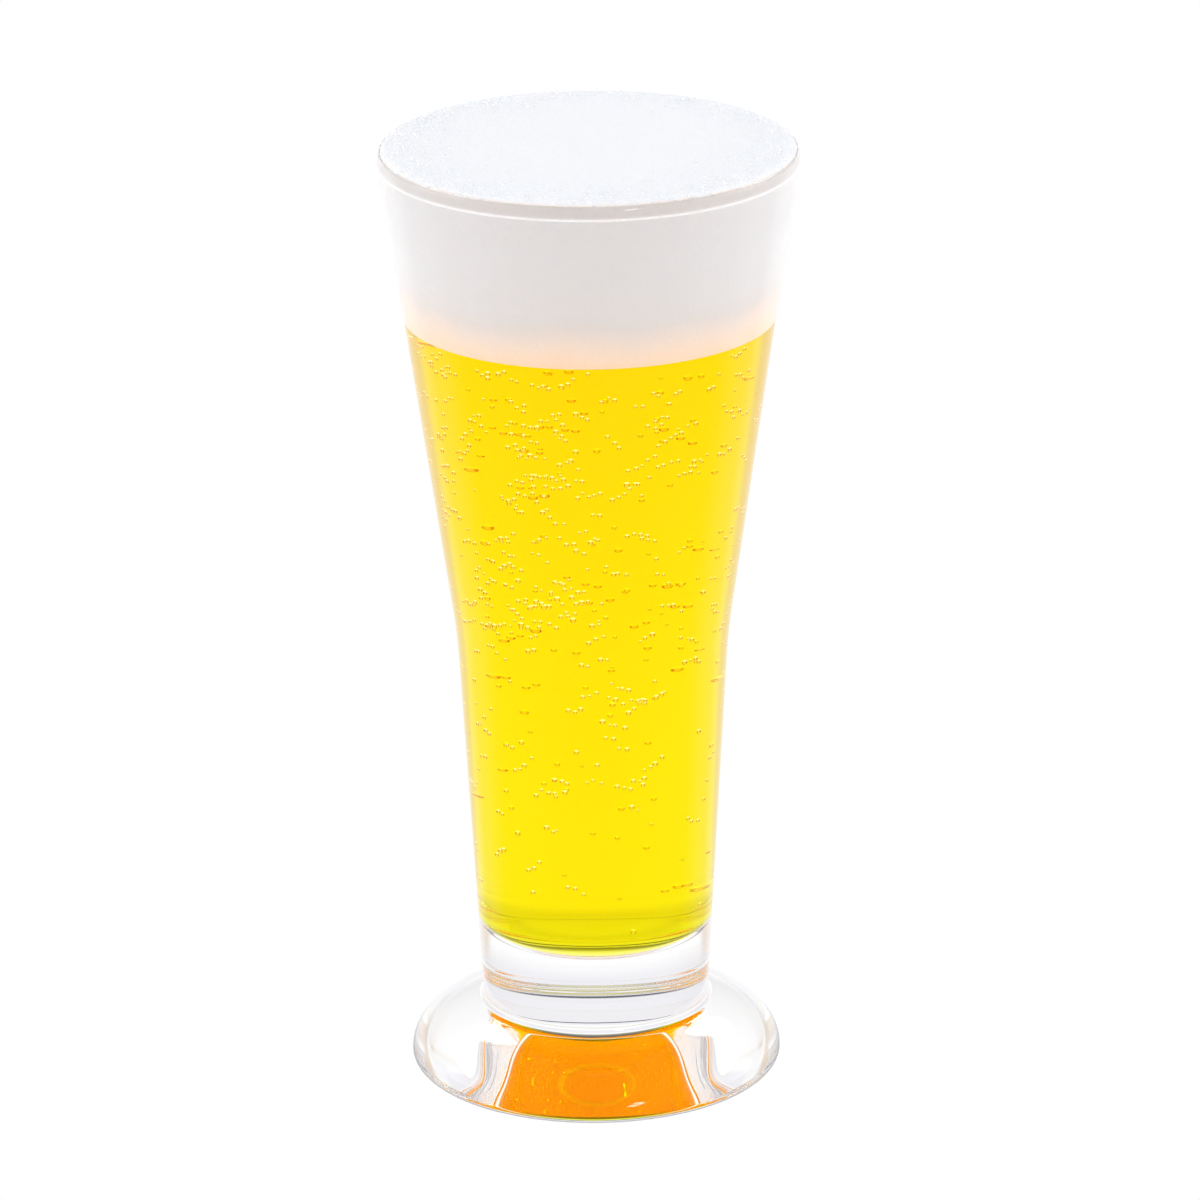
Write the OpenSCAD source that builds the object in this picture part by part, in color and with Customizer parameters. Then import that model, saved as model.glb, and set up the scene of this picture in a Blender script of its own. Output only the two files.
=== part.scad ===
// Pint of lager in a footed pilsner glass: one turned glass with a solid base
// and a domed foot, the beer that fills it, and the head of foam on the beer and the lip.
// Every piece is a solid of revolution about Z; the glass stands on z = 0.

/* [Glass] */
// Height from the standing ring to the top of the lip
glass_h = 200; // [160:1:240]
// Outside diameter at the lip
rim_d = 86.8; // [72:0.2:105]
// Outside diameter where the upper and the lower taper meet
waist_d = 56.6; // [47:0.2:68]
// Height at which the two tapers meet
waist_h = 96; // [72:1:110]
// Radius of the soft bend between the two tapers
waist_bend = 130; // [20:5:200]
// Outside diameter where the solid base meets the foot
neck_d = 47.2; // [40:0.2:56]

/* [Wall] */
// Wall thickness at the lip
rim_wall = 2.5; // [1.6:0.1:4]
// Wall thickness where the two tapers meet
waist_wall = 2.9; // [1.8:0.1:5]
// Wall thickness just above the inside floor
floor_wall = 3.2; // [2:0.1:6]
// Rounding of the lip's inside edge
lip_round = 1.0; // [0.2:0.1:1.2]
// Height of the soft curve on the outside of the lip
lip_soft_h = 3.2; // [0.5:0.1:5]
// How far that curve reaches in over the top of the lip
lip_soft_in = 0.9; // [0.2:0.1:1.5]

/* [Base and foot] */
// Height of the inside floor, the top of the clear solid base
floor_h = 30; // [25:0.5:40]
// Rounding where the inside floor turns up into the wall
floor_round = 5.5; // [1:0.5:10]
// How much lower the middle of the inside floor is than its edge
floor_dish = 0.6; // [0.1:0.1:2]
// Diameter of the foot
foot_d = 77.8; // [64:0.2:96]
// Height of the domed foot where it meets the base
foot_h = 14.3; // [11:0.1:18]
// Radius at which the dome's curve, carried on under the base, would be level
dome_level_r = 5; // [0:0.5:12]
// Fullness of the dome's curve: 2 is an ellipse, more is squarer
dome_full = 2.2; // [1.8:0.05:2.8]
// Height of the widest line of the foot
foot_edge_h = 2.6; // [1.5:0.1:4]
// How far the underside of the foot's edge curves in
foot_edge_in = 3.4; // [1:0.1:5]
// How far the soft crease reaches out over the foot
crease_out = 1.9; // [0.4:0.1:3]
// How far the soft crease reaches up the base
crease_up = 2.0; // [0.4:0.1:4]
// Width of the ring the glass stands on
ring_w = 4.5; // [2:0.1:8]
// Depth of the hollow under the foot
punt_depth = 3.7; // [1:0.1:6]
// How flat the hollow is in its middle: 2 is a plain dish, more is flatter
punt_flat = 3; // [2:0.1:5]

/* [Beer and foam] */
// Depth of the foam, from the lip down to the beer
foam_depth = 35.5; // [15:0.5:45]
// Width of the foam's rounded shoulder, inside its edge on the lip
foam_shoulder = 2.4; // [1:0.1:10]
// Height of the shoulder above the lip
foam_shoulder_rise = 0.9; // [0.2:0.1:4]
// Height of the middle of the foam above the lip
foam_crown = 1.6; // [0.5:0.1:8]

/* [Hidden] */

turn_steps = 96;   // facets of a preview turn; the exact solids are round
arc_steps = 12;    // straight steps in a profile's rounding
curve_steps = 16;  // straight steps in a profile's longer curves
dome_steps = 20;   // straight steps in the foot's dome

glass_colour = [0.90, 0.94, 0.97, 0.4];
beer_colour = [1.00, 0.90, 0.05];
foam_colour = [0.98, 0.98, 1.00];

rim_r = rim_d / 2;
waist_r = waist_d / 2;
neck_r = neck_d / 2;
foot_r = foot_d / 2;
punt_r = foot_r - foot_edge_in - ring_w;

lip_in_r = rim_r - rim_wall;
waist_in_r = waist_r - waist_wall;
base_slope = (waist_r - neck_r) / (waist_h - foot_h);
floor_in_r = neck_r + base_slope * (floor_h - foot_h) - floor_wall;

beer_top_h = glass_h - foam_depth;
beer_top_r = bowl_radius(beer_top_h);
lip_top_r = rim_r - min(lip_soft_in, 0.45 * rim_wall);
shoulder_h = glass_h + foam_shoulder_rise;
shoulder_r = lip_top_r - foam_shoulder;

// Inside radius of the upper taper at height h
function bowl_radius(h) =
    waist_in_r + (lip_in_r - waist_in_r) * (h - waist_h) / (glass_h - waist_h);

// Points on an ellipse's arc about [x, h], half axes a and b, from one angle to another
function ellipse_arc(x, h, a, b, from, to, steps = curve_steps) =
    [for (i = [0:steps]) let (t = from + (to - from) * i / steps) [x + a * cos(t), h + b * sin(t)]];

// The dome of the foot: half axes of its curve, its height and its fall at radius r
dome_a = foot_r - dome_level_r;
dome_b = (foot_h - foot_edge_h) / pow(1 - pow((neck_r - dome_level_r) / dome_a, dome_full), 1 / dome_full);
function dome_height(r) =
    foot_edge_h + dome_b * pow(1 - pow((r - dome_level_r) / dome_a, dome_full), 1 / dome_full);
function dome_fall(r) =
    let (x = (r - dome_level_r) / dome_a)
    dome_b / dome_a * pow(x, dome_full - 1) * pow(1 - pow(x, dome_full), 1 / dome_full - 1);

// The foot's dome from its widest line in to the start of the crease
function dome_curve() =
    let (
        crease_from = neck_r + crease_out,
        last = acos(pow((crease_from - dome_level_r) / dome_a, dome_full / 2))
    )
    [for (i = [0:dome_steps]) let (t = last * i / dome_steps)
        [dome_level_r + dome_a * pow(cos(t), 2 / dome_full),
         foot_edge_h + dome_b * pow(sin(t), 2 / dome_full)]];

// A soft curve from a to c that leaves and arrives along the sides of the corner a, b, c
function soft_corner(a, b, c, steps = arc_steps) =
    [for (i = [0:steps]) let (t = i / steps)
        (1 - t) * (1 - t) * a + 2 * t * (1 - t) * b + t * t * c];

// The crease, from the dome up to the straight side of the base
function crease() =
    let (
        from_r = neck_r + crease_out,
        from_h = dome_height(from_r),
        fall = dome_fall(from_r),
        corner_r = (neck_r + base_slope * (from_h + fall * from_r - foot_h)) / (1 + base_slope * fall),
        corner = [corner_r, from_h + fall * (from_r - corner_r)],
        to_h = corner[1] + crease_up
    )
    soft_corner([from_r, from_h], corner, [neck_r + base_slope * (to_h - foot_h), to_h]);

// The hollow under the foot, from the middle out to the ring it stands on
function punt_curve() =
    [for (i = [0:curve_steps]) let (k = i / curve_steps)
        [punt_r * k, punt_depth * (1 - pow(k, punt_flat))]];

// The inside edge of the lip, from its top down to the straight wall
function lip_inside() =
    rounded_corner([rim_r, glass_h], [lip_in_r, glass_h], [waist_in_r, waist_h], lip_round);

// Points on a shallow spherical cap over the axis, from its edge to its middle, which stands rise higher
function cap_arc(edge_r, edge_h, rise, steps = curve_steps) =
    let (ball = (edge_r * edge_r + rise * rise) / (2 * rise), half = asin(edge_r / ball))
    [for (i = [0:steps]) let (t = half * (1 - i / steps)) [ball * sin(t), edge_h + rise - ball * (1 - cos(t))]];

// The corner b between a and c, rounded to a radius that its two sides have room for
function rounded_corner(a, b, c, radius, steps = arc_steps) =
    let (
        u = (a - b) / norm(a - b),
        v = (c - b) / norm(c - b),
        half = acos(u * v) / 2,
        reach = min(radius / tan(half), 0.48 * norm(a - b), 0.48 * norm(c - b)),
        r = reach * tan(half),
        middle = b + (u + v) / norm(u + v) * (r / sin(half)),
        from = b + u * reach - middle,
        to = b + v * reach - middle,
        sweep = 180 - 2 * half,
        way = sign(from[0] * to[1] - from[1] * to[0])
    )
    [for (i = [0:steps]) let (t = way * sweep * i / steps)
        middle + [from[0] * cos(t) - from[1] * sin(t), from[0] * sin(t) + from[1] * cos(t)]];

// The inside of the wall, from the edge of the floor up to the point top on the upper taper
function bowl_side(top) =
    let (
        floor_edge = [floor_in_r, floor_h],
        waist = [waist_in_r, waist_h],
        floor_in = [0, floor_h]
    )
    concat(
        rounded_corner(floor_in, floor_edge, waist, floor_round),
        rounded_corner(floor_edge, waist, top, waist_bend),
        [top]
    );

// The dished middle of the floor, from the axis out to where the rounding starts
function bowl_floor() =
    let (start = bowl_side([lip_in_r, glass_h])[0])
    [for (i = [0:curve_steps - 1]) let (k = i / curve_steps)
        [start[0] * k, floor_h - floor_dish * (1 + cos(180 * k)) / 2]];

// Outside of the glass, from the middle of its underside out, up and in to the top of the lip
function glass_outside() =
    let (
        dome = dome_curve(),
        soft_from = glass_h - lip_soft_h,
        neck = [neck_r, foot_h],
        waist = [waist_r, waist_h],
        lip = [rim_r, glass_h],
        soft_start = waist + (lip - waist) * (soft_from - waist_h) / (glass_h - waist_h)
    )
    concat(
        punt_curve(),
        ellipse_arc(foot_r - foot_edge_in, foot_edge_h, foot_edge_in, foot_edge_h, -90, 0),
        [for (i = [1:dome_steps - 1]) dome[i]],
        crease(),
        rounded_corner(neck, waist, lip, waist_bend),
        soft_corner(soft_start, lip, [lip_top_r, glass_h])
    );

// Inside of the glass, from the lip down to the middle of the floor
function glass_inside() =
    let (side = bowl_side([lip_in_r, glass_h]), last = len(side) - 1, bottom = bowl_floor())
    concat(
        lip_inside(),
        [for (i = [last - 1:-1:0]) side[i]],
        [for (i = [len(bottom) - 1:-1:0]) bottom[i]]
    );

module glass() {
    color(glass_colour)
    rotate_extrude($fn = turn_steps)
    polygon(concat(glass_outside(), glass_inside()));
}

module beer() {
    color(beer_colour)
    rotate_extrude($fn = turn_steps)
    polygon(concat(bowl_floor(), bowl_side([beer_top_r, beer_top_h]), [[0, beer_top_h]]));
}

module foam() {
    edge = lip_inside();
    shoulder = ellipse_arc(shoulder_r, glass_h, foam_shoulder, foam_shoulder_rise, 0, 90);
    crown = cap_arc(shoulder_r, shoulder_h, foam_crown - foam_shoulder_rise);
    color(foam_colour)
    rotate_extrude($fn = turn_steps)
    polygon(concat(
        [[0, beer_top_h], [beer_top_r, beer_top_h]],
        [for (i = [len(edge) - 1:-1:0]) edge[i]],
        shoulder,
        [for (i = [1:curve_steps]) crown[i]]
    ));
}

glass();
beer();
foam();
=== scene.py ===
import math
import bpy
import numpy as np
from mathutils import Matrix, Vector


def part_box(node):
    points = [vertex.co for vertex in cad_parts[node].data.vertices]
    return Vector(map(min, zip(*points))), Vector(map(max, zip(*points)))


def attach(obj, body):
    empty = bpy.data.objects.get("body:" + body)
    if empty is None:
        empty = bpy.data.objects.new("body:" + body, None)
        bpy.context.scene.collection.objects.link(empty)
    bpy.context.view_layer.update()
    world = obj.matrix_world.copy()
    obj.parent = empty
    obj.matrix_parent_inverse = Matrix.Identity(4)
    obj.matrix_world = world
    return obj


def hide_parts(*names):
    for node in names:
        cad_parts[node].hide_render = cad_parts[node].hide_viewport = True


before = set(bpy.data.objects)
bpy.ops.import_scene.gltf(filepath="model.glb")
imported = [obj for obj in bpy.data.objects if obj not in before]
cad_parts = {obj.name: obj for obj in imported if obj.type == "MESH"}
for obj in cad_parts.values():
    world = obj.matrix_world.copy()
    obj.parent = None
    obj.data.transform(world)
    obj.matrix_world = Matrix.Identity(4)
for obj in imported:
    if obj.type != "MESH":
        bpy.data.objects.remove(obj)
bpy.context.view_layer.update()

mm = 0.001
beerLow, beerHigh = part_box("beer")
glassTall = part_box("glass")[1].z
beerFloor = beerLow.z
beerTop = beerHigh.z
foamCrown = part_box("foam")[1].z
print("frame loaded: glass", round(glassTall / mm, 1), "mm tall, beer up to", round(beerTop / mm, 1), "mm")


# shapes shared by every piece

samePoint = 0.002 * mm            # points closer than this are one point


def straight(a, b, steps):
    # a line from a to b, its points closer together near both ends
    t = (1 - np.cos(np.linspace(0, np.pi, steps + 1))) / 2
    return np.outer(1 - t, a) + np.outer(t, b)


def ellipseArc(centre, halfAxes, start, end, steps):
    # centre plus (a cos t, b sin t), t going evenly from start to end in degrees
    t = np.radians(np.linspace(start, end, steps + 1))
    return np.stack([centre[0] + halfAxes[0] * np.cos(t), centre[1] + halfAxes[1] * np.sin(t)], 1)


def capArc(edgeRadius, edgeHigh, rise, steps):
    # a shallow ball's cap over the axis, from its edge to its middle, which is rise higher
    ball = (edgeRadius ** 2 + rise ** 2) / (2 * rise)
    t = math.asin(edgeRadius / ball) * np.linspace(1, 0, steps + 1)
    return np.stack([ball * np.sin(t), edgeHigh + rise - ball * (1 - np.cos(t))], 1)


def roundedCorner(a, b, c, radius, steps):
    # the circle of that radius that touches both sides of the corner a-b-c, from side to side
    a, b, c = (np.asarray(p, float) for p in (a, b, c))
    u = (a - b) / np.linalg.norm(a - b)
    v = (c - b) / np.linalg.norm(c - b)
    half = np.arccos(np.clip(u @ v, -1, 1)) / 2
    middle = b + (u + v) / np.linalg.norm(u + v) * radius / np.sin(half)
    start = b + u * radius / np.tan(half) - middle
    end = b + v * radius / np.tan(half) - middle
    way = np.sign(start[0] * end[1] - start[1] * end[0])
    t = way * np.linspace(0, np.pi - 2 * half, steps + 1)
    x = start[0] * np.cos(t) - start[1] * np.sin(t)
    y = start[0] * np.sin(t) + start[1] * np.cos(t)
    return middle + np.stack([x, y], 1)


def softCorner(a, b, c, steps):
    # (1-t)(1-t) a + 2t(1-t) b + tt c: leaves and arrives along the sides of the corner a-b-c
    t = np.linspace(0, 1, steps + 1)
    return np.outer((1 - t) ** 2, a) + np.outer(2 * t * (1 - t), b) + np.outer(t ** 2, c)


def joined(*parts):
    # the parts of an outline end to end, without the points that two parts share
    line = np.concatenate(parts)
    gap = np.linalg.norm(np.diff(line, axis=0), axis=1)
    return line[np.concatenate([[True], gap > samePoint])]


def makePiece(name, points, faces):
    # a smooth mesh object at the origin from points and lists of faces
    mesh = bpy.data.meshes.new(name)
    mesh.from_pydata(points.tolist(), [], [f for group in faces for f in group.tolist()])
    mesh.polygons.foreach_set("use_smooth", np.ones(len(mesh.polygons), bool))
    mesh.update()
    piece = bpy.data.objects.new(name, mesh)
    bpy.context.scene.collection.objects.link(piece)
    return piece


def turned(name, outline, around, push=None):
    # the outline (radius, height), from the axis back to the axis, carried round Z;
    # push(radius, height, angle) moves the surface out along the outline's own normal
    ring = outline[1:-1]
    angle = np.linspace(0, 2 * np.pi, around, endpoint=False)
    radius = np.repeat(ring[:, 0, None], around, 1)
    height = np.repeat(ring[:, 1, None], around, 1)
    turn = np.repeat(angle[None, :], len(ring), 0)
    if push is not None:
        along = np.gradient(ring, axis=0)
        along /= np.linalg.norm(along, axis=1, keepdims=True)
        step = push(radius, height, turn)
        radius = radius + along[:, 1, None] * step
        height = height - along[:, 0, None] * step
    points = np.stack([radius * np.cos(turn), radius * np.sin(turn), height], -1).reshape(-1, 3)
    poles = np.array([[0, 0, outline[0, 1]], [0, 0, outline[-1, 1]]])
    index = np.arange(len(ring) * around).reshape(len(ring), around)
    after = np.roll(index, -1, 1)
    walls = np.stack([index[:-1], after[:-1], after[1:], index[1:]], -1).reshape(-1, 4)
    first = np.full(around, len(points))
    startFan = np.stack([first, after[0], index[0]], -1)
    endFan = np.stack([first + 1, index[-1], after[-1]], -1)
    return makePiece(name, np.concatenate([points, poles]), [startFan, walls, endFan])


def smoothstep(x, low, high):
    # tt (3 - 2t), where t goes from 0 at low to 1 at high
    t = np.clip((x - low) / (high - low), 0, 1)
    return t * t * (3 - 2 * t)


# the glass: one outline from the middle of the underside, over the foot and the lip, to the inside floor

glassShape = {
    "rimRadius": 43.4 * mm,       # outside, at the lip
    "rimWall": 2.5 * mm,
    "lipRound": 1.0 * mm,         # inside edge of the lip
    "lipSoftHigh": 3.2 * mm,      # outside curve of the lip: its height
    "lipSoftIn": 0.9 * mm,        # and how far it reaches in
    "waistRadius": 28.3 * mm,     # outside, where the two tapers meet
    "waistHigh": 96 * mm,
    "waistWall": 2.9 * mm,
    "waistBend": 130 * mm,
    "neckRadius": 23.6 * mm,      # outside, where the solid base meets the foot
    "floorHigh": 30 * mm,         # inside floor, the top of the solid base
    "floorWall": 3.2 * mm,
    "floorRound": 5.5 * mm,
    "floorDish": 0.6 * mm,
    "footRadius": 38.9 * mm,
    "footHigh": 14.3 * mm,
    "domeLevel": 5 * mm,          # radius at which the dome's curve would be level
    "domeFull": 2.2,              # 2 is an ellipse, more is squarer
    "footEdgeHigh": 2.6 * mm,
    "footEdgeIn": 3.4 * mm,
    "creaseOut": 1.9 * mm,
    "creaseUp": 2.0 * mm,
    "ringWide": 4.5 * mm,         # the ring the glass stands on
    "puntDeep": 3.7 * mm,         # hollow under the foot
    "puntFlat": 3.0,              # 2 is a plain dish, more is flatter in the middle
    "around": 192,
    "curvePoints": 70,            # along the hollow, and along the dome
}
g = glassShape
lipInside = g["rimRadius"] - g["rimWall"]
lipTop = g["rimRadius"] - g["lipSoftIn"]
waistInside = g["waistRadius"] - g["waistWall"]
baseSlope = (g["waistRadius"] - g["neckRadius"]) / (g["waistHigh"] - g["footHigh"])
floorInside = g["neckRadius"] + baseSlope * (g["floorHigh"] - g["footHigh"]) - g["floorWall"]


def bowlRadius(height):
    # the straight upper taper of the inside
    share = (height - g["waistHigh"]) / (glassTall - g["waistHigh"])
    return waistInside + (lipInside - waistInside) * share


def bowlSide(grow, top, steps=30):
    # inside of the wall from the floor's edge up to the height top, pushed into the wall by grow
    edge = np.array([floorInside + grow, g["floorHigh"] - grow])
    waist = np.array([waistInside + grow, g["waistHigh"]])
    high = np.array([bowlRadius(top) + grow, top])
    corner = roundedCorner([0, edge[1]], edge, waist, g["floorRound"] + grow, 24)
    bend = roundedCorner(edge, waist, high, g["waistBend"], 20)
    return joined(corner, straight(corner[-1], bend[0], 20), bend, straight(bend[-1], high, steps))


def bowlFloor(start, steps=28):
    # a dish, lowest on the axis, that meets the rounding at start
    k = np.linspace(0, 1, steps, endpoint=False)
    deep = g["floorDish"] * (1 + np.cos(np.pi * k)) / 2
    return np.stack([start[0] * k, start[1] - deep], 1)


def lipInsideEdge(grow):
    # rounding of the lip from its flat top down to the inside wall, pushed into the glass by grow
    corner = [lipInside + grow, glassTall - grow]
    return roundedCorner([g["rimRadius"], corner[1]], corner, [waistInside + grow, g["waistHigh"]],
                         g["lipRound"] + grow, 14)


def puntCurve():
    # deep times (1 - k to the power flat), from the middle out
    k = np.linspace(0, 1, g["curvePoints"])
    puntRadius = g["footRadius"] - g["footEdgeIn"] - g["ringWide"]
    return np.stack([puntRadius * k, g["puntDeep"] * (1 - k ** g["puntFlat"])], 1)


def domeAndCrease():
    # x = level + a cos(t) to the power 2/full, z = edge + b sin(t) to the power 2/full,
    # then a soft corner between the dome's tangent and the straight side of the base
    full = g["domeFull"]
    wide = g["footRadius"] - g["domeLevel"]
    neckShare = (g["neckRadius"] - g["domeLevel"]) / wide
    tall = (g["footHigh"] - g["footEdgeHigh"]) / (1 - neckShare ** full) ** (1 / full)
    fromRadius = g["neckRadius"] + g["creaseOut"]
    x = (fromRadius - g["domeLevel"]) / wide
    t = math.acos(x ** (full / 2)) * np.linspace(0, 1, g["curvePoints"])
    dome = np.stack([g["domeLevel"] + wide * np.cos(t) ** (2 / full),
                     g["footEdgeHigh"] + tall * np.sin(t) ** (2 / full)], 1)
    fromHigh = dome[-1, 1]
    fall = tall / wide * x ** (full - 1) * (1 - x ** full) ** (1 / full - 1)
    aboveNeck = fromHigh + fall * fromRadius - g["footHigh"]
    cornerRadius = (g["neckRadius"] + baseSlope * aboveNeck) / (1 + baseSlope * fall)
    corner = np.array([cornerRadius, fromHigh + fall * (fromRadius - cornerRadius)])
    endHigh = corner[1] + g["creaseUp"]
    end = np.array([g["neckRadius"] + baseSlope * (endHigh - g["footHigh"]), endHigh])
    return joined(dome, softCorner(dome[-1], corner, end, 20))


def glassOutline():
    # underside, foot and outer side up to the lip, then down the inside to the middle of its floor
    edge = ellipseArc([g["footRadius"] - g["footEdgeIn"], g["footEdgeHigh"]],
                      [g["footEdgeIn"], g["footEdgeHigh"]], -90, 0, 18)
    neck = np.array([g["neckRadius"], g["footHigh"]])
    waist = np.array([g["waistRadius"], g["waistHigh"]])
    lip = np.array([g["rimRadius"], glassTall])
    softFrom = waist + (lip - waist) * (glassTall - g["lipSoftHigh"] - waist[1]) / (glassTall - waist[1])
    punt = puntCurve()
    foot = domeAndCrease()
    bend = roundedCorner(neck, waist, lip, g["waistBend"], 20)
    lipOut = softCorner(softFrom, lip, [lipTop, glassTall], 20)
    lipIn = lipInsideEdge(0)
    wet = wettedOutline()
    return joined(punt, straight(punt[-1], edge[0], 8), edge, foot, straight(foot[-1], bend[0], 24), bend,
                  straight(bend[-1], lipOut[0], 30), lipOut, straight(lipOut[-1], lipIn[0], 4), lipIn,
                  straight(lipIn[-1], wet[0], 12), wet)


# the beer: the bowl's own shape, let a little way into the wall and the foam

beerShape = {"intoWall": 0.12 * mm, "intoFoam": 0.5 * mm, "around": 240}


def wettedOutline():
    # the part of the glass's inside that the beer covers, from its top edge down to the floor's middle
    side = bowlSide(0, beerTop + beerShape["intoFoam"])
    return joined(side[::-1], bowlFloor(side[0])[::-1])


def beerOutline():
    # the dished floor, the side up to just inside the foam, and level back to the axis
    side = bowlSide(beerShape["intoWall"], beerTop + beerShape["intoFoam"])
    return joined(bowlFloor(side[0]), side, straight(side[-1], [0, side[-1][1]], 24))


# the foam: fills the bowl above the beer, lies over the lip and stands a little above it

foamShape = {
    "intoWall": 0.10 * mm,
    "shoulder": 2.4 * mm,         # width of the rounded edge
    "shoulderRise": 0.9 * mm,     # above the lip
    "swell": 0.10 * mm,           # slow unevenness of the top
    "broadWaves": (210, 260),     # radians in a metre along x and along y
    "slantWaves": (430, -380),
    "slantShare": 0.6,            # height of the slanting waves, the broad ones being 1
    "waveStarts": (1.3, 0.4, 2.1),
    "around": 320,
}


def foamOutline():
    # level out over the beer, up the wall, over the lip, round the shoulder and up to the crown
    f = foamShape
    low = [bowlRadius(beerTop) + f["intoWall"], beerTop]
    lipEdge = lipInsideEdge(f["intoWall"])[::-1]
    rest = [lipTop, glassTall - f["intoWall"]]
    centre = [lipTop - f["shoulder"], glassTall - f["intoWall"]]
    shoulder = ellipseArc(centre, [f["shoulder"], f["shoulderRise"] + f["intoWall"]], 0, 90, 24)
    crown = capArc(centre[0], glassTall + f["shoulderRise"], foamCrown - glassTall - f["shoulderRise"], 90)
    return joined(straight([0, beerTop], low, 40), straight(low, lipEdge[0], 40), lipEdge,
                  straight(lipEdge[-1], rest, 4), shoulder, crown)


def foamSwell(radius, height, turn):
    # sin(x) sin(y) and a slanting sin(x + y) over the top, lowered so that no wave stands above
    # the outline, and faded out at the lip and on the wall
    f = foamShape
    x = radius * np.cos(turn)
    y = radius * np.sin(turn)
    startX, startY, startSlant = f["waveStarts"]
    broad = np.sin(x * f["broadWaves"][0] + startX) * np.sin(y * f["broadWaves"][1] + startY)
    slant = np.sin(x * f["slantWaves"][0] + y * f["slantWaves"][1] + startSlant)
    wave = broad + f["slantShare"] * slant
    highest = 1 + f["slantShare"]
    top = smoothstep(height, glassTall + 0.3 * mm, glassTall + f["shoulderRise"])
    return f["swell"] * (wave - highest) / 2 * top * smoothstep(lipTop - radius, 0, 3 * mm)


glass = turned("glassBody", glassOutline(), g["around"])
beer = turned("lager", beerOutline(), beerShape["around"])
foam = turned("foamHead", foamOutline(), foamShape["around"], foamSwell)
print("glass, beer and foam turned:", [len(o.data.polygons) for o in (glass, beer, foam)], "faces")


# the gas: balls of air in the beer, made as one mesh

gas = {
    "seed": 7,
    "free": 150,                  # bubbles that float
    "freeUp": 0.62,               # below 1 they crowd towards the top of the beer
    "rows": 360,                  # short crooked rows of bubbles on the wall
    "rowsUp": 0.50,
    "rowLongest": 4,
    "rowRough": 0.35 * mm,
    "rowStep": 1.35 * mm,
    "stepSpread": 0.12,           # share by which the steps differ
    "slopeSpread": 0.35,          # of the rows' slopes, and of their bends
    "bendSpread": 0.12,
    "crowdShare": 0.55,           # share of the rows that crowd on one side
    "crowdSide": -1.95,           # angle round the glass where they crowd, and how widely
    "crowdWidth": 0.75,
    "startLow": 3 * mm,           # where rows and floating bubbles start: above the floor, below the foam
    "startHigh": 1.5 * mm,
    "keepLow": 2 * mm,            # nearest that a bubble's middle comes to the floor and the foam
    "keepHigh": 1.2 * mm,
    "cornerHigh": 7 * mm,         # down here the bowl curves in, and the bubbles with it
    "cornerIn": 1.5 * mm,
    "radius": 0.44 * mm,
    "spread": 0.18,
    "smallest": 0.6,              # shares of the radius
    "largest": 1.5,
    "offWall": 0.05 * mm,
    "rings": 7,
    "turns": 12,
}
rng = np.random.default_rng(gas["seed"])


def unitBall(rings, turns):
    # (sin a cos b, sin a sin b, cos a): rings of latitude between two poles, radius 1
    tilt = np.linspace(0, np.pi, rings + 2)[1:-1]
    angle = np.linspace(0, 2 * np.pi, turns, endpoint=False)
    ring = np.stack([np.outer(np.sin(tilt), np.cos(angle)), np.outer(np.sin(tilt), np.sin(angle)),
                     np.outer(np.cos(tilt), np.ones(turns))], -1).reshape(-1, 3)
    points = np.concatenate([[[0, 0, 1]], ring, [[0, 0, -1]]])
    index = 1 + np.arange(rings * turns).reshape(rings, turns)
    after = np.roll(index, -1, 1)
    quads = np.stack([index[:-1], index[1:], after[1:], after[:-1]], -1).reshape(-1, 4)
    top = np.stack([np.zeros(turns, int), index[0], after[0]], -1)
    low = np.stack([np.full(turns, len(points) - 1), after[-1], index[-1]], -1)
    return points, quads, np.concatenate([top, low])


def scatterBalls(name, places, radii, rings, turns):
    # one mesh with a ball at each place: the unit ball's points times the radius, plus the place
    points, quads, fans = unitBall(rings, turns)
    allPoints = (places[:, None, :] + points[None] * radii[:, None, None]).reshape(-1, 3)
    step = np.arange(len(places))[:, None, None] * len(points)
    allQuads = (quads[None] + step).reshape(-1, 4)
    allFans = (fans[None] + step).reshape(-1, 3)
    return makePiece(name, allPoints, [allQuads, allFans])


bowlLine = bowlSide(0, glassTall)


def innerRadius(height):
    # inside radius of the wall, read off the bowl's own line
    return np.interp(height, bowlLine[:, 1], bowlLine[:, 0])


def beerHeights(count, crowd):
    # low + (high - low) u to the power crowd, u even from 0 to 1: below 1 it crowds towards the top
    low = beerFloor + gas["startLow"]
    high = beerTop - gas["startHigh"]
    return low + (high - low) * rng.random(count) ** crowd


def gasRows():
    # angle and height of every bubble in the rows: a row starts anywhere on the wall and goes round it
    # in even steps, with a slope and a bend of its own
    count = gas["rows"]
    crowded = rng.random(count) < gas["crowdShare"]
    crowd = rng.normal(gas["crowdSide"], gas["crowdWidth"], count)
    anywhere = rng.random(count) * 2 * np.pi
    start = np.where(crowded, crowd, anywhere)
    high = beerHeights(count, gas["rowsUp"])
    long = rng.integers(1, gas["rowLongest"] + 1, count)
    row = np.repeat(np.arange(count), long)
    step = np.arange(len(row)) - np.repeat(np.cumsum(long) - long, long)
    slope = rng.normal(0, gas["slopeSpread"], count)[row]
    bend = rng.normal(0, gas["bendSpread"], count)[row]
    along = step * gas["rowStep"] * rng.normal(1, gas["stepSpread"], len(row))
    rough = rng.normal(0, gas["rowRough"], len(row))
    rowHigh = high[row] + along * slope + step ** 2 * bend * gas["rowStep"] + rough
    return start[row] + along / innerRadius(high[row]), rowHigh


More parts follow.
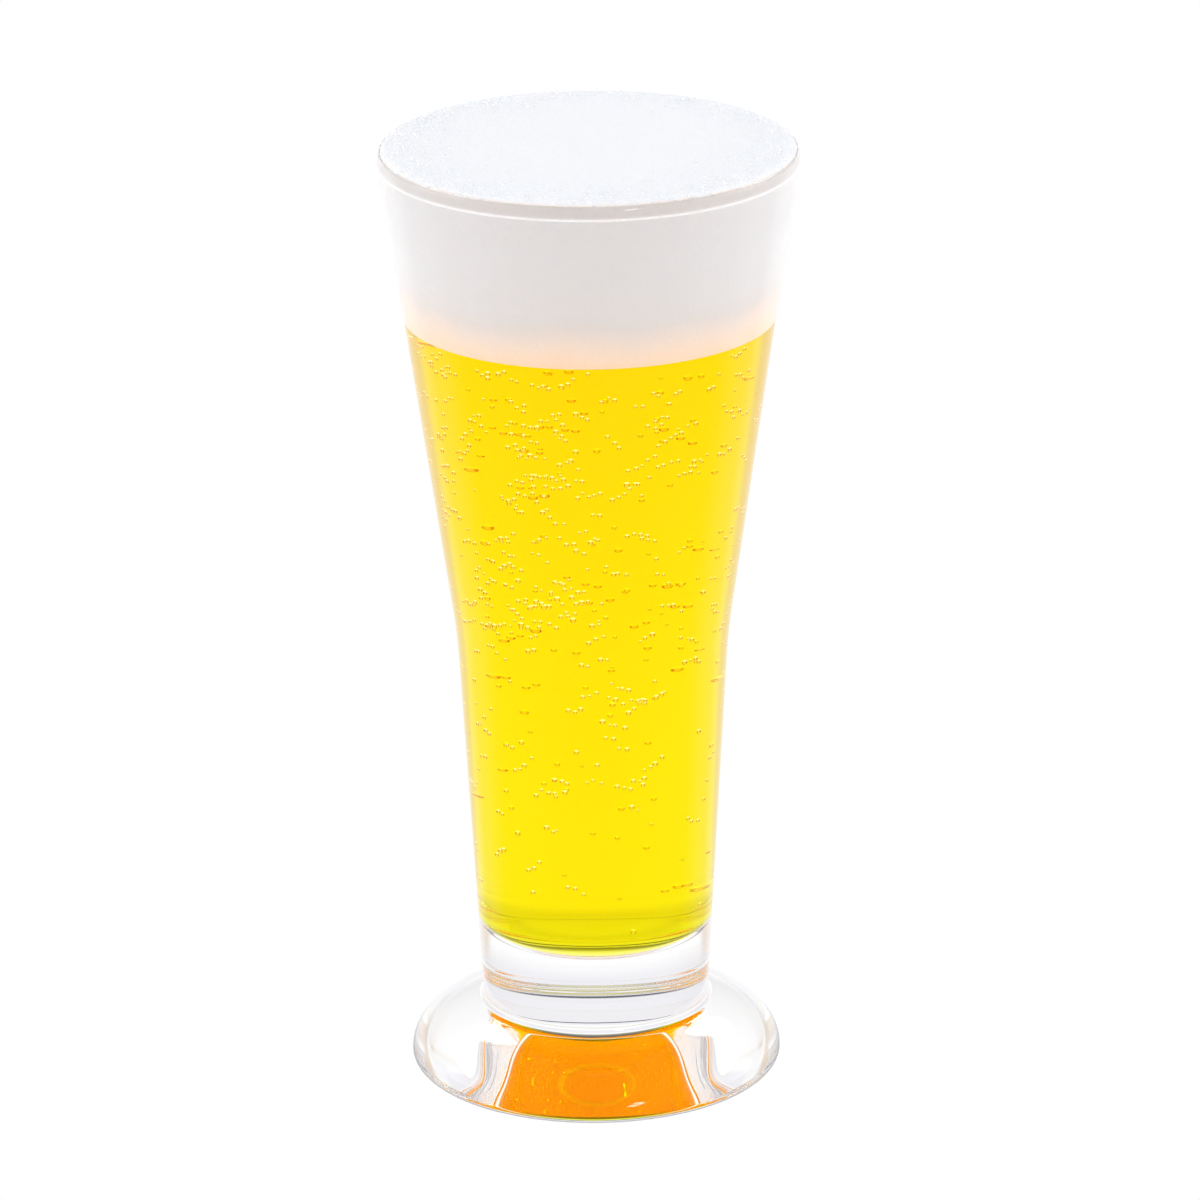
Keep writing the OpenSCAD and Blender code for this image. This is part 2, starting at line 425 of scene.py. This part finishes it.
def gasPlaces():
    # the floating bubbles lie at root u of the way out, which is even over the area; the rest on the wall
    rowAngle, rowHigh = gasRows()
    high = np.concatenate([beerHeights(gas["free"], gas["freeUp"]), rowHigh])
    angle = np.concatenate([rng.random(gas["free"]) * 2 * np.pi, rowAngle])
    count = len(high)
    high = np.clip(high, beerFloor + gas["keepLow"], beerTop - gas["keepHigh"])
    radius = np.clip(rng.normal(1, gas["spread"], count), gas["smallest"], gas["largest"]) * gas["radius"]
    slantRoom = 1.02              # the wall leans, so a ball needs a little more than its radius
    reach = innerRadius(high) - radius * slantRoom - gas["offWall"]
    low = high < beerFloor + gas["cornerHigh"]
    reach = np.where(low, reach - gas["cornerIn"], reach)
    out = np.where(np.arange(count) < gas["free"], np.sqrt(rng.random(count)), 1) * reach
    return np.stack([out * np.cos(angle), out * np.sin(angle), high], 1), radius


places, radii = gasPlaces()
bubbles = scatterBalls("gasBubbles", places, radii, gas["rings"], gas["turns"])
print("bubbles:", len(places), "of", len(bubbles.data.polygons), "faces")


# the foam's own bubbles: small beads sunk a little into its top, most of them near its edge

beadShape = {
    "count": 2600,
    "radius": 0.17 * mm,
    "spread": 0.45,
    "smallest": 0.08 * mm,
    "largest": 0.42 * mm,
    "offEdge": 0.1 * mm,
    "band": 5.5 * mm,             # how far in from the edge they thin out
    "bandLeast": 0.25,            # least share of that for any bead
    "sunk": 0.25,                 # share of the radius by which the middle lies below the surface
    "rings": 4,
    "turns": 8,
}


def foamTopHigh(radius):
    # the height of the foam's top, without its swell
    line = foamOutline()
    top = line[line[:, 1] > glassTall]
    return np.interp(radius, top[::-1, 0], top[::-1, 1])


def beadPlaces():
    # in from the edge by the size of a normal draw times an uneven share of the band
    b = beadShape
    count = b["count"]
    radius = np.clip(rng.lognormal(0, b["spread"], count) * b["radius"], b["smallest"], b["largest"])
    inward = np.abs(rng.normal(0, 1, count)) * b["band"] * (b["bandLeast"] + rng.random(count))
    out = np.clip(lipTop - b["offEdge"] - inward, 0, None)
    angle = rng.random(count) * 2 * np.pi
    high = foamTopHigh(out) - b["sunk"] * radius - foamShape["swell"]
    return np.stack([out * np.cos(angle), out * np.sin(angle), high], 1), radius


beadAt, beadRadii = beadPlaces()
beads = scatterBalls("foamBeads", beadAt, beadRadii, beadShape["rings"], beadShape["turns"])
print("beads:", len(beadAt), "of", len(beads.data.polygons), "faces")


# finishes


def newMaterial(name):
    # an empty material, and its tree of nodes
    material = bpy.data.materials.new(name)
    material.use_nodes = True
    material.node_tree.nodes.clear()
    return material, material.node_tree


def add(tree, kind, inputs=None, **settings):
    # a node of that kind; inputs by name, each a plain value or another node's output
    node = tree.nodes.new(kind)
    for name, value in settings.items():
        setattr(node, name, value)
    for name, value in (inputs or {}).items():
        socket = node.inputs[name]
        if isinstance(value, bpy.types.NodeSocket):
            tree.links.new(value, socket)
        else:
            socket.default_value = value
    return node


def calc(tree, operation, *values):
    # one step of arithmetic on plain numbers or other nodes' outputs
    node = tree.nodes.new("ShaderNodeMath")
    node.operation = operation
    for socket, value in zip(node.inputs, values):
        if isinstance(value, bpy.types.NodeSocket):
            tree.links.new(value, socket)
        else:
            socket.default_value = value
    return node.outputs[0]


def ease(tree, value, low, high, start=0.0, end=1.0):
    # a smooth step of value from low to high, going from start to end
    node = add(tree, "ShaderNodeMapRange", {"Value": value, "From Min": low, "From Max": high,
                                            "To Min": start, "To Max": end}, interpolation_type="SMOOTHSTEP")
    return node.outputs["Result"]


def ramp(tree, value, stops):
    # a colour that changes along value; stops are (place, colour)
    node = add(tree, "ShaderNodeValToRGB", {"Fac": value})
    node.color_ramp.interpolation = "EASE"
    elements = node.color_ramp.elements
    while len(elements) < len(stops):
        elements.new(0.5)
    for element, (place, colour) in zip(elements, stops):
        element.position = place
        element.color = (*colour, 1)
    return node.outputs["Color"]


def blend(tree, factor, a, b, mode="MIX"):
    # a where factor is 0 and b where it is 1, or b laid over a in another mode
    node = tree.nodes.new("ShaderNodeMix")
    node.data_type = "RGBA"
    node.blend_type = mode
    for socket, value in ((node.inputs[0], factor), (node.inputs[6], a), (node.inputs[7], b)):
        if isinstance(value, bpy.types.NodeSocket):
            tree.links.new(value, socket)
        else:
            socket.default_value = value
    return node.outputs[2]


def finish(tree, surface, volume=None):
    # wires the last shaders to the material's output
    out = tree.nodes.new("ShaderNodeOutputMaterial")
    tree.links.new(surface, out.inputs["Surface"])
    if volume is not None:
        tree.links.new(volume, out.inputs["Volume"])


glassLook = {
    "ior": 1.5,
    "wetIor": 1.0,
    "drawScale": 35.0,            # faint slow waves, as pressed glass has
    "drawDeep": 0.5 * mm,
    "drawStrength": 0.03,
}


def clearGlass():
    # clear, and faintly uneven by a broad noise
    material, tree = newMaterial("clearGlass")
    place = tree.nodes.new("ShaderNodeTexCoord").outputs["Object"]
    draw = add(tree, "ShaderNodeTexNoise", {"Vector": place, "Scale": glassLook["drawScale"], "Detail": 1.0})
    bump = add(tree, "ShaderNodeBump", {"Strength": glassLook["drawStrength"], "Height": draw.outputs["Fac"],
                                        "Distance": glassLook["drawDeep"]})
    surface = add(tree, "ShaderNodeBsdfPrincipled", {"Roughness": 0.0, "IOR": glassLook["ior"],
                                                     "Transmission Weight": 1.0, "Base Color": (1, 1, 1, 1),
                                                     "Normal": bump.outputs["Normal"]})
    finish(tree, surface.outputs["BSDF"])
    return material


def wettedGlass():
    # where the beer lies on the glass, the beer's own surface, just inside the wall, does all the bending
    material, tree = newMaterial("wettedGlass")
    surface = add(tree, "ShaderNodeBsdfPrincipled", {"Roughness": 0.0, "IOR": glassLook["wetIor"],
                                                     "Transmission Weight": 1.0, "Base Color": (1, 1, 1, 1)})
    finish(tree, surface.outputs["BSDF"])
    return material


lagerLook = {
    "ior": 0.889,                        # beer against glass: 1.333 over 1.5
    "body": (0.9996, 0.9825, 0.0, 1),    # a metre takes up the density times 1 less this
    "density": 300.0,
}


def paleLager():
    # clear beer, yellow by absorption through its depth
    material, tree = newMaterial("paleLager")
    look = lagerLook
    surface = add(tree, "ShaderNodeBsdfGlass", {"Roughness": 0.0, "IOR": look["ior"], "Color": (1, 1, 1, 1)})
    body = add(tree, "ShaderNodeVolumeAbsorption", {"Color": look["body"], "Density": look["density"]})
    finish(tree, surface.outputs[0], body.outputs["Volume"])
    return material


gasLook = {
    "ior": 0.75,                  # gas against beer: 1 over 1.333
    "paintedShade": [(0.0, (1.0, 0.88, 0.30)), (0.30, (0.95, 0.73, 0.06)), (0.46, (0.86, 0.57, 0.02)),
             (0.58, (1.0, 0.96, 0.4)), (1.0, (1.0, 1.0, 0.8))],    # painted shade, from its underside to its top
    # the glint is a painted highlight: an emission on each bubble's top and underneath
    "glint": (1.0, 0.97, 0.40, 1),
    "glintStrength": 1.3,
    "glintFrom": (0.45, 0.68),    # heights on the unit ball between which the painted highlight on top sets in
    "glintTop": 0.95,
    "glintBelow": (-0.93, -0.80),
    "glintLow": 0.9,
}


def gasInBeer():
    # painted shade: amber below, where each bubble shades itself; painted highlights, glowing by emission, on
    # its top and on a spot underneath
    material, tree = newMaterial("gasInBeer")
    normal = tree.nodes.new("ShaderNodeTexCoord").outputs["Normal"]
    up = add(tree, "ShaderNodeSeparateXYZ", {"Vector": normal}).outputs["Z"]
    paintedShade = ramp(tree, ease(tree, up, -1, 1), gasLook["paintedShade"])
    clear = add(tree, "ShaderNodeBsdfGlass", {"IOR": gasLook["ior"], "Roughness": 0.0, "Color": paintedShade})
    glint = add(tree, "ShaderNodeEmission", {"Color": gasLook["glint"], "Strength": gasLook["glintStrength"]})
    onTop = ease(tree, up, *gasLook["glintFrom"], 0.0, gasLook["glintTop"])
    below = ease(tree, up, *gasLook["glintBelow"], gasLook["glintLow"], 0.0)
    lit = calc(tree, "ADD", onTop, below)
    mix = add(tree, "ShaderNodeMixShader", {0: lit, 1: clear.outputs[0], 2: glint.outputs[0]})
    finish(tree, mix.outputs[0])
    return material


foamLook = {
    "white": (0.97, 0.95, 0.945, 1),
    "peach": (0.98, 0.76, 0.63, 1),      # painted light: low down, where the beer shines into it
    "peachHigh": 15 * mm,
    "drift": 4 * mm,                     # unevenness of the peach's upper end
    "driftScale": 60.0,
    "glow": (1.0, 0.56, 0.30, 1),
    "glowStrength": 0.26,
    "lipShade": (0.85, 0.82, 0.80, 1),   # behind the rounded lip
    "lipShadeDeep": 2.7 * mm,
    "lipShadeSoft": 0.35 * mm,
    "lipLine": 0.30,                     # glow of the thin line below it
    "lipLineDeep": (0.25 * mm, 0.6 * mm),
    "lipLineSoft": 0.08 * mm,
    "edge": (0.93, 0.83, 0.76, 1),       # painted warm light where the foam's edge lies on the lip
    "edgeWide": (0.1 * mm, 0.5 * mm),
    # painted shade in the hollows between the fine bubbles on the top
    "pitShade": (0.90, 0.91, 0.935, 1),
    "pitFrom": (0.35, 0.65),             # share of a cell's size, out from its middle
    "pitHigh": (0.1 * mm, 0.4 * mm),     # above the lip, so that only the top has pits
    "cellScale": 1500.0,                 # fine bubbles, about 0.7 mm apart
    "cellDeep": 0.3 * mm,
}
lipLow = glassTall - foamLook["lipShadeDeep"]


def within(tree, value, low, high, soft):
    # 1 from low to high, with soft ends
    return calc(tree, "MULTIPLY", ease(tree, value, low - soft, low + soft),
                ease(tree, value, high - soft, high + soft, 1.0, 0.0))


def foamColour(tree, up, high, radius, cells):
    # peach low down, painted light from the beer, and white above; greyer behind the lip as painted shade;
    # warmer on the edge as painted warm light; darker between the bubbles as painted shade
    look = foamLook
    colour = blend(tree, up, look["peach"], look["white"])
    behindLip = within(tree, high, lipLow, glassTall + 0.1 * mm, look["lipShadeSoft"])
    colour = blend(tree, behindLip, colour, look["lipShade"])
    edgeNear, edgeFar = look["edgeWide"]
    # painted warm light along the foam's edge on the lip
    paintedEdgeLight = calc(tree, "MULTIPLY", ease(tree, radius, lipTop - edgeFar, lipTop - edgeNear),
                  ease(tree, high, glassTall, glassTall + 0.1 * mm))
    colour = blend(tree, paintedEdgeLight, colour, look["edge"])
    outer = ease(tree, radius, 0.45 * lipTop, lipTop, 0.25, 1.0)
    onTop = ease(tree, high, glassTall + look["pitHigh"][0], glassTall + look["pitHigh"][1])
    # painted shade between the bubbles, stronger towards the edge, only on the top
    pits = calc(tree, "MULTIPLY", ease(tree, cells, *look["pitFrom"]), outer)
    return blend(tree, calc(tree, "MULTIPLY", pits, onTop), colour, look["pitShade"])


def foamGlow(tree, up, high):
    # a thin bright line under the lip's band, and a warm glow that fades upwards from the beer
    lineNear, lineFar = foamLook["lipLineDeep"]
    line = within(tree, high, lipLow - lineFar, lipLow - lineNear, foamLook["lipLineSoft"])
    warm = ease(tree, up, 0, 0.9, foamLook["glowStrength"], 0.0)
    return calc(tree, "ADD", calc(tree, "MULTIPLY", line, foamLook["lipLine"]), warm)


def whiteFoam():
    # up goes from 0 at the beer to 1 where the peach ends, on a slightly uneven height
    material, tree = newMaterial("whiteFoam")
    look = foamLook
    place = tree.nodes.new("ShaderNodeTexCoord").outputs["Object"]
    split = add(tree, "ShaderNodeSeparateXYZ", {"Vector": place}).outputs
    high = split["Z"]
    flat = add(tree, "ShaderNodeCombineXYZ", {"X": split["X"], "Y": split["Y"]}).outputs[0]
    radius = add(tree, "ShaderNodeVectorMath", {0: flat}, operation="LENGTH").outputs["Value"]
    noise = add(tree, "ShaderNodeTexNoise", {"Vector": place, "Scale": look["driftScale"], "Detail": 2.0})
    drift = calc(tree, "MULTIPLY", noise.outputs["Fac"], look["drift"])
    up = ease(tree, calc(tree, "ADD", high, drift), beerTop, beerTop + look["peachHigh"])
    voronoi = add(tree, "ShaderNodeTexVoronoi", {"Vector": place, "Scale": look["cellScale"]})
    cells = voronoi.outputs["Distance"]
    bump = add(tree, "ShaderNodeBump", {"Strength": 0.35, "Distance": look["cellDeep"], "Height": cells})
    surface = add(tree, "ShaderNodeBsdfPrincipled", {
        "Base Color": foamColour(tree, up, high, radius, cells), "Roughness": 0.5, "IOR": 1.33,
        "Subsurface Weight": 0.4, "Subsurface Radius": (1.0, 0.9, 0.8), "Subsurface Scale": 3 * mm,
        "Normal": bump.outputs["Normal"], "Emission Color": blend(tree, up, look["glow"], (1, 1, 1, 1)),
        "Emission Strength": foamGlow(tree, up, high)})
    finish(tree, surface.outputs["BSDF"])
    return material


beadLook = {
    # painted shade on each bead, by the height of its normal
    "paintedShade": [(0.0, (0.70, 0.71, 0.74)), (0.6, (0.95, 0.96, 0.98)), (1.0, (1, 1, 1))],
    "shadeFrom": (-0.1, 0.9),      # heights on the unit ball
    "coat": 0.5,
}


def foamBead():
    # a thin-skinned bubble with painted shade: light on top, greyer round its foot
    material, tree = newMaterial("foamBead")
    normal = tree.nodes.new("ShaderNodeTexCoord").outputs["Normal"]
    up = add(tree, "ShaderNodeSeparateXYZ", {"Vector": normal}).outputs["Z"]
    colour = ramp(tree, ease(tree, up, *beadLook["shadeFrom"]), beadLook["paintedShade"])
    surface = add(tree, "ShaderNodeBsdfPrincipled", {"Base Color": colour, "Roughness": 0.12, "IOR": 1.45,
                                                     "Coat Weight": beadLook["coat"]})
    finish(tree, surface.outputs["BSDF"])
    return material


glass.data.materials.append(clearGlass())
glass.data.materials.append(wettedGlass())
wetFaces = (len(wettedOutline()) - 1) * g["around"]      # they are the last faces of the glass
faceFinish = np.zeros(len(glass.data.polygons), int)
faceFinish[-wetFaces:] = 1
glass.data.polygons.foreach_set("material_index", faceFinish)
beer.data.materials.append(paleLager())
bubbles.data.materials.append(gasInBeer())
foam.data.materials.append(whiteFoam())
beads.data.materials.append(foamBead())

for piece, node, slot in ((glass, "glass", "clear_glass"), (beer, "beer", "pale_lager"),
                          (bubbles, "beer", "pale_lager"), (foam, "foam", "beer_foam"),
                          (beads, "foam", "beer_foam")):
    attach(piece, "root")
    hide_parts(node)
print("finishes on")


# floor, light and camera

studio = {
    "floorHalf": 3.0,
    "floorDrop": 0.2 * mm,             # the floor lies this much below the foot
    "near": (0.92, 0.92, 0.96),        # floor close to the foot, as seen through the glass
    "nearTo": 0.065,
    # painted shade: dark rings on the floor that only the clear base shows: inner and outer radius, colour
    "rings": [(38.0 * mm, 38.5 * mm, (0.10, 0.10, 0.16)), (39.2 * mm, 40.1 * mm, (0.06, 0.06, 0.11)),
              (48.4 * mm, 49.8 * mm, (0.10, 0.10, 0.15))],
    "ringSoft": 0.2 * mm,
    "farFrom": 0.09,
    "through": [(0.00, (1.0, 1.0, 1.0)), (0.22, (1.0, 1.0, 1.0)), (0.27, (0.80, 0.68, 0.56)),
                (0.42, (0.80, 0.70, 0.62)), (0.50, (1.0, 1.0, 1.0)), (0.62, (0.95, 0.95, 0.98)),
                (0.75, (0.90, 0.88, 0.85)), (1.0, (0.90, 0.88, 0.85))],
    "throughStrength": 1.08,
    "onFoam": [(0.00, (0.75, 0.76, 0.78)), (0.30, (0.85, 0.86, 0.88)), (0.55, (0.96, 0.97, 1.0)),
               (0.80, (0.565, 0.535, 0.52)), (1.0, (0.53, 0.495, 0.475))],
    "onFoamStrength": 2.3,
    "overFoam": (0.975, 1.005, 1.055, 1),
    "darkAbove": 0.15,
    # what the outer surfaces reflect of the floor, by direction: bright only at the glass's edges
    "skyGloss": 0.04,
    "gloss": [(0.00, (1.0, 1.0, 1.0)), (0.22, (1.0, 1.0, 1.0)), (0.38, (0.45, 0.45, 0.46)),
              (0.55, (0.05, 0.05, 0.05)), (1.0, (0.04, 0.04, 0.04))],
    # heights in the sky, 0 level and 1 straight up, between which each change sets in
    "glossFades": (0.0, 0.2),
    "darkFrom": (0.55, 0.85),
    "overFrom": (0.15, 0.6),
    # soft boxes seen in the gloss: direction, inner and outer half angle, strength
    "boxes": [((-0.269, 0.673, 0.689), 2, 10, 11.0), ((0.319, 0.720, 0.617), 2, 8, 11.0),
              ((0.078, 0.483, 0.872), 1, 4, 8.0), ((0.372, -0.928, 0.03), 1, 5, 10.0),
              ((0.425, -0.89, 0.165), 1, 5, 12.0), ((-0.95, 0.0, 0.30), 12, 22, 1.0),
              ((0.95, 0.1, 0.30), 12, 22, 1.0)],
}


def allOver(value):
    # the grey of that value
    return value, value, value, 1


def aroundAxis(tree, x, y):
    # 0 straight behind the glass, 1 straight in front of it, the same on both sides
    return calc(tree, "DIVIDE", calc(tree, "ABSOLUTE", calc(tree, "ARCTAN2", x, y)), math.pi)


def surroundings(tree, x, y):
    # what the clear pieces show, and what lights the foam, by direction round the glass
    around = aroundAxis(tree, x, y)
    through = ramp(tree, around, studio["through"])
    through = blend(tree, 1.0, through, allOver(studio["throughStrength"]), "MULTIPLY")
    light = ramp(tree, around, studio["onFoam"])
    light = blend(tree, 1.0, light, allOver(studio["onFoamStrength"]), "MULTIPLY")
    return through, light, ramp(tree, around, studio["gloss"])


def pickByRay(tree, through, light, gloss):
    # white to the camera itself, gloss to reflections, light to the foam, through to all other rays
    path = tree.nodes.new("ShaderNodeLightPath").outputs
    colour = blend(tree, path["Is Reflection Ray"], through, gloss)
    onFoam = calc(tree, "GREATER_THAN", path["Diffuse Depth"], 0.5)
    colour = blend(tree, onFoam, colour, light)
    return blend(tree, path["Is Camera Ray"], colour, (1, 1, 1, 1))


def makeFloor():
    # a square whose colour goes by the distance and the direction from the glass
    half = studio["floorHalf"]
    low = -studio["floorDrop"]
    corners = np.array([[-half, -half, low], [half, -half, low], [half, half, low], [-half, half, low]])
    floor = makePiece("floor", corners, [np.array([[0, 1, 2, 3]])])
    material, tree = newMaterial("paleFloor")
    place = tree.nodes.new("ShaderNodeTexCoord").outputs["Object"]
    split = add(tree, "ShaderNodeSeparateXYZ", {"Vector": place}).outputs
    through, light, gloss = surroundings(tree, split["X"], split["Y"])
    away = add(tree, "ShaderNodeVectorMath", {0: place}, operation="LENGTH").outputs["Value"]
    far = ease(tree, away, studio["nearTo"], studio["farFrom"])
    through = blend(tree, far, (*studio["near"], 1), through)
    # the painted shade rings
    for inner, outer, colour in studio["rings"]:
        through = blend(tree, within(tree, away, inner, outer, studio["ringSoft"]), through, (*colour, 1))
    colour = pickByRay(tree, through, light, gloss)
    glow = add(tree, "ShaderNodeEmission", {"Color": colour})
    finish(tree, glow.outputs["Emission"])
    floor.data.materials.append(material)


def makeSky():
    # the same colours by direction, changed with height, and the soft boxes added to the gloss
    world = bpy.data.worlds.new("studio")
    bpy.context.scene.world = world
    world.use_nodes = True
    tree = world.node_tree
    tree.nodes.clear()
    way = tree.nodes.new("ShaderNodeTexCoord").outputs["Generated"]
    split = add(tree, "ShaderNodeSeparateXYZ", {"Vector": way}).outputs
    through, light, gloss = surroundings(tree, split["X"], split["Y"])
    high = split["Z"]
    gloss = blend(tree, ease(tree, high, *studio["glossFades"]), gloss, allOver(studio["skyGloss"]))
    through = blend(tree, ease(tree, high, *studio["darkFrom"]), through, allOver(studio["darkAbove"]))
    light = blend(tree, ease(tree, high, *studio["overFrom"]), light, studio["overFoam"])
    for direction, inner, outer, strength in studio["boxes"]:
        towards = Vector(direction).normalized()
        dot = add(tree, "ShaderNodeVectorMath", {0: way, 1: towards}, operation="DOT_PRODUCT")
        spot = ease(tree, dot.outputs["Value"], math.cos(math.radians(outer)), math.cos(math.radians(inner)),
                    0, strength)
        gloss = blend(tree, 1.0, gloss, spot, "ADD")
    colour = pickByRay(tree, through, light, gloss)
    sky = add(tree, "ShaderNodeBackground", {"Color": colour})
    out = tree.nodes.new("ShaderNodeOutputWorld")
    tree.links.new(sky.outputs["Background"], out.inputs["Surface"])


viewpoint = {
    "stand": (0, -1443.2, 609.8),      # in millimetres
    "aim": (1.57, 0, 102.5),
    "lens": 220.6,
    "sensor": 36,
    "lean": -0.0086,                   # radians about its own line of sight
}


def makeCamera():
    # stands at one place and looks at another, along its own -Z
    data = bpy.data.cameras.new("camera")
    data.sensor_width = viewpoint["sensor"]
    data.lens = viewpoint["lens"]
    camera = bpy.data.objects.new("camera", data)
    bpy.context.scene.collection.objects.link(camera)
    stand = Vector(viewpoint["stand"]) * mm
    aim = Vector(viewpoint["aim"]) * mm
    camera.location = stand
    camera.rotation_euler = (aim - stand).to_track_quat("-Z", "Y").to_euler()
    camera.rotation_euler.rotate_axis("Z", viewpoint["lean"])
    bpy.context.scene.camera = camera


makeFloor()
makeSky()
makeCamera()
bpy.context.scene.view_settings.view_transform = "Standard"
cycles = bpy.context.scene.cycles
manyBounces = 96                      # light crosses the wall, the beer and many bubbles
cycles.max_bounces = manyBounces
cycles.transmission_bounces = manyBounces
cycles.glossy_bounces = manyBounces
cycles.diffuse_bounces = 5
print("studio set")
